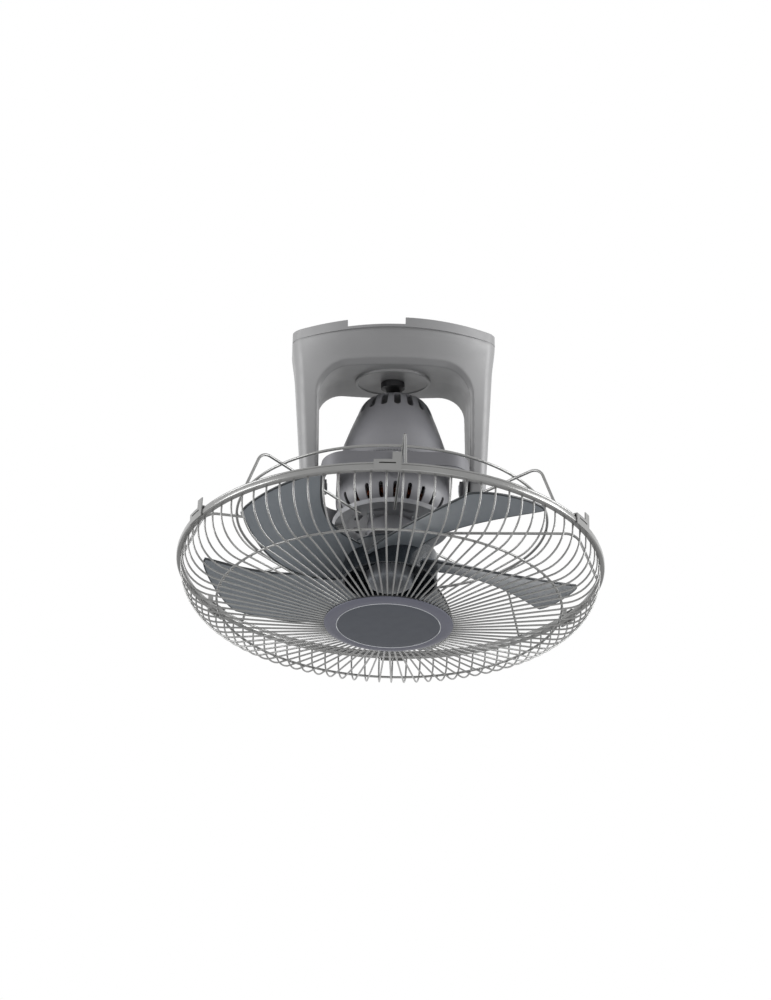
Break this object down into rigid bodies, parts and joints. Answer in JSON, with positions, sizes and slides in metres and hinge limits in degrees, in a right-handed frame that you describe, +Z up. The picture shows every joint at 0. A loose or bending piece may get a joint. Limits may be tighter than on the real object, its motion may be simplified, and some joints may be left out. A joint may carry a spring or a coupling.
{
  "type": "orbital ceiling fan",
  "caption": "Orbital ceiling fan: a yoke on the ceiling carries a gimbal ring in which a caged, five-bladed fan head leans and sweeps a cone, led by a crank.",
  "frame": {"origin": "centre of the ceiling plate's top face, which lies on the ceiling", "axes": "+Z up out of the ceiling face, +X along the yoke through its two legs, -Y towards the side that the head faces at rest"},
  "size_m": [0.4499, 0.4476, 0.3471],
  "materials": {
    "satin_grey": "satin",
    "yoke_grey": "satin",
    "ring_grey": "satin",
    "wire_grey": "semi gloss",
    "slate_clear": "translucent gloss",
    "smoke_clear": "translucent gloss",
    "badge_slate": "gloss",
    "trim_bright": "polished",
    "black_plastic": "matte",
    "pale_plastic": "matte",
    "steel": "plain",
    "core_steel": "laminated",
    "copper": "enamelled",
    "bronze": "sintered"
  },
  "bodies": {
    "mount": {"ceiling_plate": "steel", "terminal_block": "black_plastic", "yoke": "yoke_grey", "side_screws": "steel", "pivot_disc": "yoke_grey", "disc_screws": "steel", "crank_bush": "black_plastic", "leg_bolts": "steel"},
    "crank": {"crank_lever": "black_plastic", "crank_clip": "steel", "orbit_shaft": "steel", "orbit_wheel": "pale_plastic", "shaft_screw": "steel"},
    "head": {"upper_housing": "satin_grey", "lower_housing": "satin_grey", "housing_screws": "steel", "bearing_plate": "steel", "rear_bush": "bronze", "front_bush": "bronze", "stator_core": "core_steel", "windings": "copper", "gear_plate": "steel", "orbit_motor": "steel", "orbit_bush": "bronze", "guard_plate": "satin_grey", "guard_screws": "steel", "rear_guard_struts": "wire_grey", "rear_guard_rings": "wire_grey", "rim_band": "wire_grey", "rim_clips": "wire_grey", "front_guard_wires": "wire_grey", "front_guard_rings": "wire_grey", "badge_back": "black_plastic", "badge_cap": "badge_slate", "badge_trim": "trim_bright"},
    "pinion": {"drive_pinion": "pale_plastic"},
    "rotor": {"motor_shaft": "steel", "rotor_core": "core_steel", "impeller": "slate_clear", "drive_pin": "steel", "impeller_knob": "smoke_clear"},
    "gimbal": {"gimbal_ring": "ring_grey", "leg_bushes": "black_plastic", "ring_screws": "steel"}
  },
  "joints": [
    {"name": "crank_orbit", "type": "hinge", "parent": "mount", "child": "crank", "pos_m": [0, 0, -0.166], "axis": [0, 0, 1], "continuous": true},
    {"name": "head_swivel", "type": "hinge", "parent": "crank", "child": "head", "pos_m": [0, 0, -0.166], "axis": [0.0419, 0.1992, 0.9791], "continuous": true},
    {"name": "pinion_spin", "type": "hinge", "parent": "head", "child": "pinion", "pos_m": [0.02198, -0.00018, -0.1669], "axis": [0.0419, 0.1992, 0.9791], "continuous": true},
    {"name": "fan_spin", "type": "hinge", "parent": "head", "child": "rotor", "pos_m": [0, 0, -0.166], "axis": [0.0419, 0.1992, 0.9791], "continuous": true},
    {"name": "gimbal_tilt", "type": "hinge", "parent": "mount", "child": "gimbal", "pos_m": [0, 0, -0.166], "axis": [1, 0, 0], "range_deg": [-0.24, 23.24]}
  ],
  "couplings": [
    {"joint": "head_swivel", "follows": "crank_orbit", "ratio": -1},
    {"joint": "pinion_spin", "follows": "crank_orbit", "ratio": -3.4}
  ]
}
